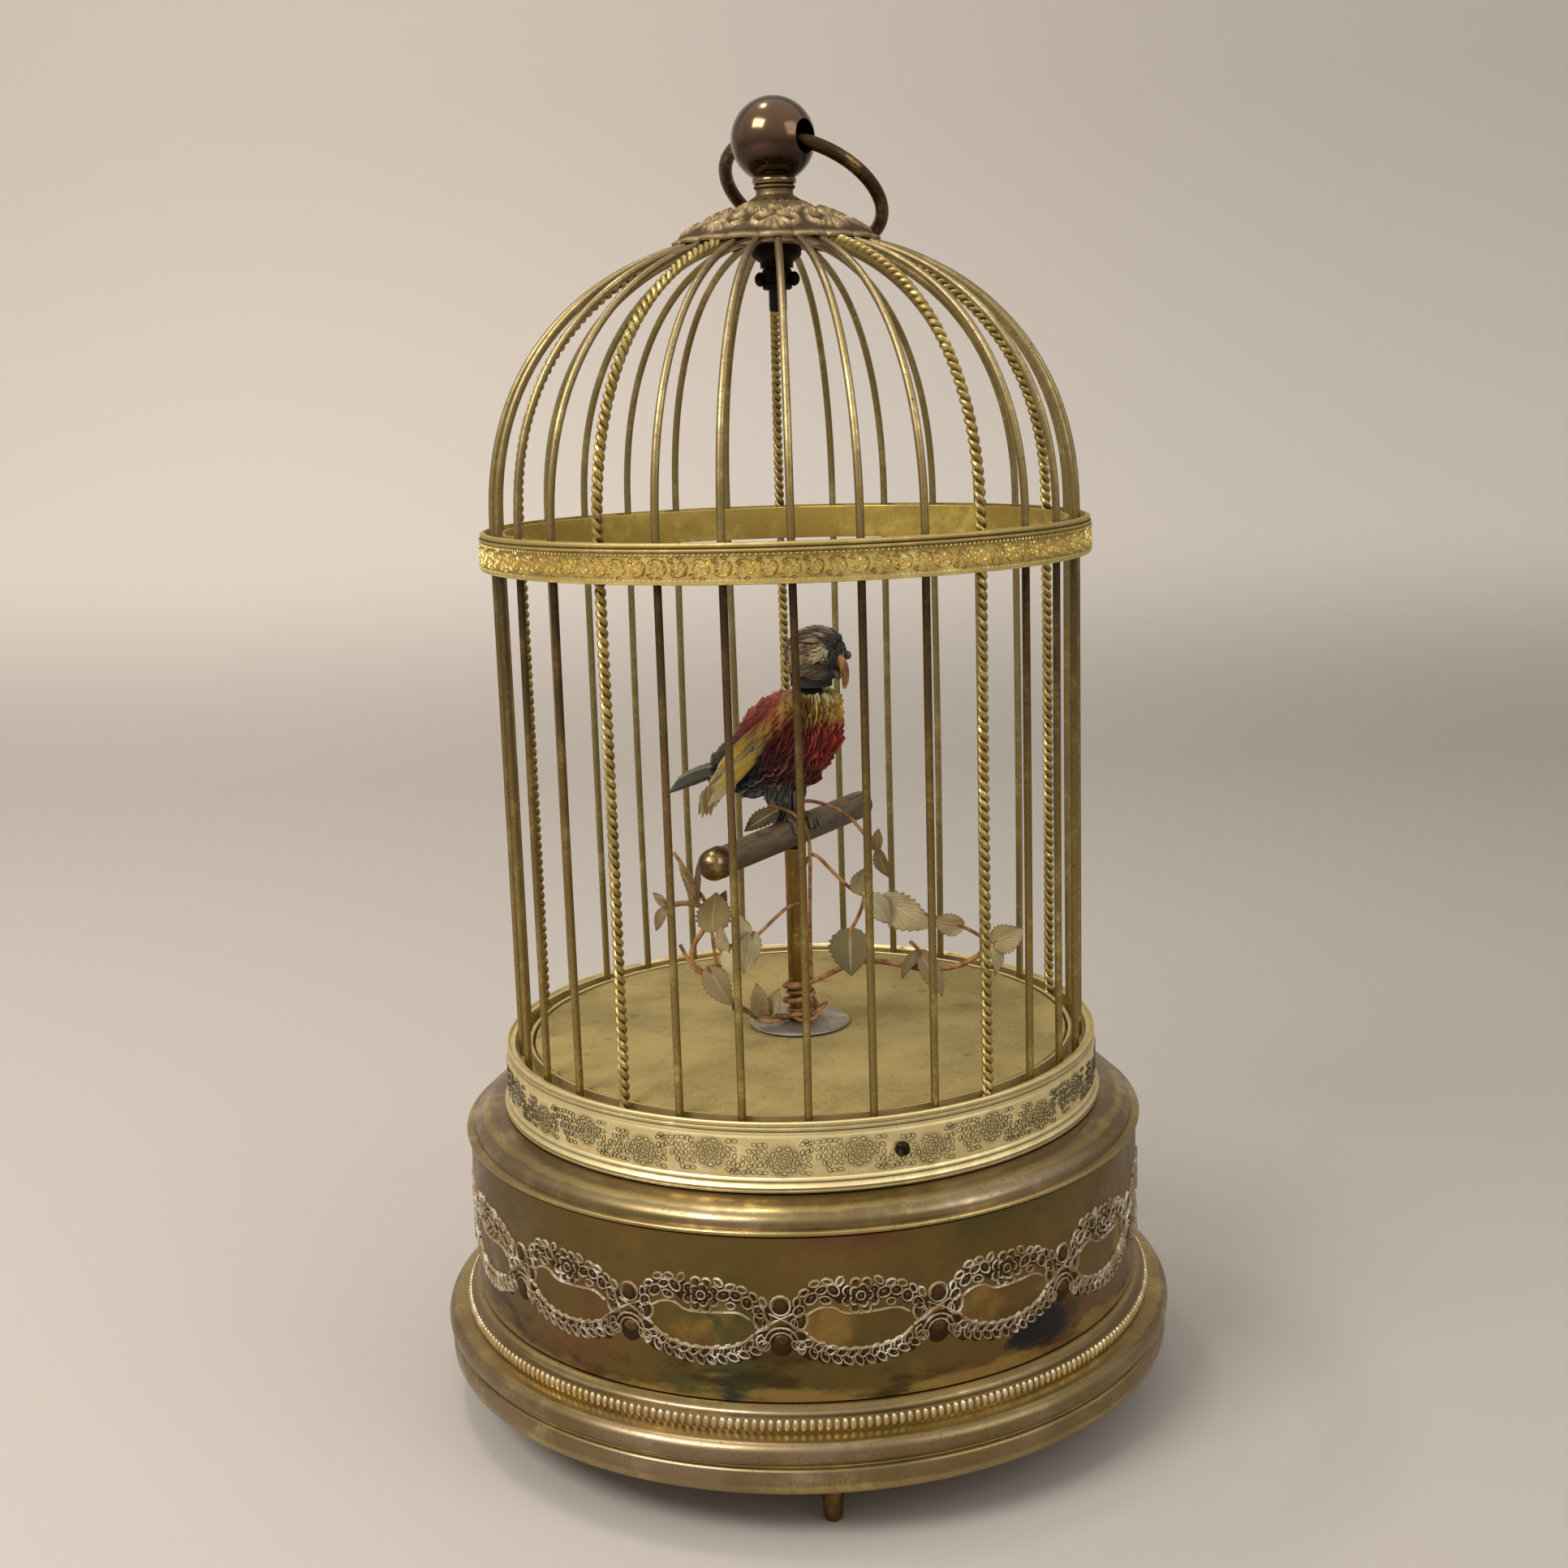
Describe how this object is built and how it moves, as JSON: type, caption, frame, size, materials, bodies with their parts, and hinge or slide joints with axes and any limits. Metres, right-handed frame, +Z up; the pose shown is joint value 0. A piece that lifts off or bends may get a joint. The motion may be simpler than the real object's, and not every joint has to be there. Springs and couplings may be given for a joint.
{
  "type": "singing bird automaton",
  "caption": "Domed brass wire cage on a turned, ornamented base. A small feathered bird on a perch turns its head, opens its beak and lifts its tail, driven by clockwork in the base.",
  "frame": {"origin": "on the surface that the feet stand on, on the axis of the cage", "axes": "+Z up along the cage's axis, -Y towards the front, which the bird half faces, +X to the right seen from the front"},
  "size_m": [0.163, 0.163, 0.28],
  "materials": {
    "dark_bronze": "polished dark brown bronze",
    "rose_copper": "pressed, copper brown, worn",
    "gilt_brass": "aged gold, grey-brown tarnish in the hollows",
    "old_wire": "olive gold wire with dark streaks",
    "brown_brass": "brown patina, gold on worn edges",
    "clock_brass": "plain brass, lightly tarnished",
    "dark_steel": "dark grey steel, worn",
    "olive_felt": "mustard-olive felt",
    "taupe_rod": "dull taupe",
    "copper_wire": "orange-brown copper wire",
    "red_plumage": "dark red and gold feathers",
    "grey_plumage": "grey-brown feathers",
    "beak_horn": "golden-brown horn",
    "kid_leather": "pale thin leather"
  },
  "bodies": {
    "cage_and_base": {"finial_ball": "dark_bronze", "dome_hub": "dark_bronze", "finial_nut": "dark_bronze", "cap_rose": "rose_copper", "finial_neck": "gilt_brass", "girdle_band": "gilt_brass", "girdle_hoop": "gilt_brass", "gallery_ring": "gilt_brass", "perch_knob": "gilt_brass", "rope_bar_1": "gilt_brass", "rope_bar_2": "gilt_brass", "rope_bar_3": "gilt_brass", "rope_bar_4": "gilt_brass", "rope_bar_5": "gilt_brass", "bar_section_1": "old_wire", "bar_section_2": "old_wire", "bar_section_3": "old_wire", "bar_section_4": "old_wire", "bar_section_5": "old_wire", "base_shoulder": "brown_brass", "base_drum": "brown_brass", "base_plinth": "brown_brass", "floor_plate": "clock_brass", "perch_post": "clock_brass", "bottom_plate": "clock_brass", "lower_plate": "clock_brass", "upper_plate": "clock_brass", "bellows_base": "clock_brass", "whistle_body": "clock_brass", "foot_1": "clock_brass", "foot_2": "clock_brass", "foot_3": "clock_brass", "post_escutcheon": "dark_steel", "gallery_screw_1": "dark_steel", "gallery_screw_2": "dark_steel", "gallery_screw_3": "dark_steel", "floor_cloth": "olive_felt", "perch_rod": "taupe_rod", "vine_wire": "copper_wire", "bird_body": "red_plumage", "bird_legs": "grey_plumage", "bellows_leather": "kid_leather"},
    "ring": {"hanging_ring": "dark_bronze"},
    "head": {"bird_head": "grey_plumage", "head_spindle": "clock_brass"},
    "beak": {"bird_beak": "beak_horn"},
    "tail": {"bird_tail": "grey_plumage"},
    "rod": {"control_rod": "dark_steel"},
    "winder": {"winding_key": "dark_steel", "barrel_arbor": "dark_steel"},
    "pawl": {"click": "dark_steel"},
    "barrel": {"spring_barrel": "clock_brass", "mainspring": "dark_steel"},
    "second": {"second_wheel": "clock_brass"},
    "cams": {"cam_stack": "clock_brass"},
    "fly": {"fly_governor": "clock_brass"},
    "lever": {"cam_lever": "dark_steel"},
    "piston": {"whistle_piston": "dark_steel"},
    "bellows_board": {"bellows_top": "clock_brass"},
    "stop": {"stop_lever": "dark_steel"}
  },
  "joints": [
    {"name": "ring_swing", "type": "hinge", "parent": "cage_and_base", "child": "ring", "pos_m": [0, 0, 0.2712], "axis": [0.8192, -0.5736, 0], "range_deg": [0, 252]},
    {"name": "head_turn", "type": "hinge", "parent": "cage_and_base", "child": "head", "pos_m": [0.0048, -0.00268, 0.158], "axis": [0, 0, 1], "range_deg": [-25, 25]},
    {"name": "beak_open", "type": "hinge", "parent": "head", "child": "beak", "pos_m": [0.01047, -0.00585, 0.1614], "axis": [0.4879, 0.8729, 0], "range_deg": [0, 15]},
    {"name": "tail_lift", "type": "hinge", "parent": "cage_and_base", "child": "tail", "pos_m": [-0.01379, 0.00771, 0.1374], "axis": [0.4879, 0.8729, 0], "range_deg": [0, 12]},
    {"name": "rod_slide", "type": "slide", "parent": "cage_and_base", "child": "rod", "axis": [0, 0, 1], "range_m": [0, 0.0015]},
    {"name": "winding_turn", "type": "hinge", "parent": "cage_and_base", "child": "winder", "pos_m": [0, 0, 0.02], "axis": [0, 0, 1], "continuous": true},
    {"name": "click_lift", "type": "hinge", "parent": "cage_and_base", "child": "pawl", "pos_m": [0.0146, 0.0084, 0.0162], "axis": [0, 0, 1], "range_deg": [0, 15]},
    {"name": "barrel_turn", "type": "hinge", "parent": "cage_and_base", "child": "barrel", "pos_m": [0, 0, 0.03], "axis": [0, 0, 1], "continuous": true},
    {"name": "second_turn", "type": "hinge", "parent": "cage_and_base", "child": "second", "pos_m": [0.02163, -0.01514, 0.03], "axis": [0, 0, 1], "continuous": true},
    {"name": "cams_turn", "type": "hinge", "parent": "cage_and_base", "child": "cams", "pos_m": [-0.036, 0, 0.03], "axis": [0, 0, 1], "continuous": true},
    {"name": "fly_spin", "type": "hinge", "parent": "cage_and_base", "child": "fly", "pos_m": [0.02459, -0.03198, 0.03], "axis": [0, 0, 1], "continuous": true},
    {"name": "lever_swing", "type": "hinge", "parent": "cage_and_base", "child": "lever", "pos_m": [-0.02, 0.017, 0.036], "axis": [0, 0, 1], "range_deg": [-12, 0]},
    {"name": "piston_slide", "type": "slide", "parent": "cage_and_base", "child": "piston", "axis": [1, 0, 0], "range_m": [0, 0.0057]},
    {"name": "bellows_lift", "type": "hinge", "parent": "cage_and_base", "child": "bellows_board", "pos_m": [0.002, 0.0455, 0.0246], "axis": [0, -1, 0], "range_deg": [0, 6], "deforming": ["bellows_leather"]},
    {"name": "stop_swing", "type": "hinge", "parent": "cage_and_base", "child": "stop", "pos_m": [0, 0.056, 0.0101], "axis": [0, 0, 1], "range_deg": [0, 25]}
  ],
  "couplings": [
    {"joint": "tail_lift", "follows": "rod_slide", "rad_per_m": 139.6},
    {"joint": "beak_open", "follows": "rod_slide", "rad_per_m": 173},
    {"joint": "second_turn", "follows": "barrel_turn", "ratio": -4.5},
    {"joint": "cams_turn", "follows": "barrel_turn", "ratio": -1.5},
    {"joint": "fly_spin", "follows": "barrel_turn", "ratio": 16.875},
    {"joint": "piston_slide", "follows": "lever_swing", "m_per_rad": -0.027}
  ]
}
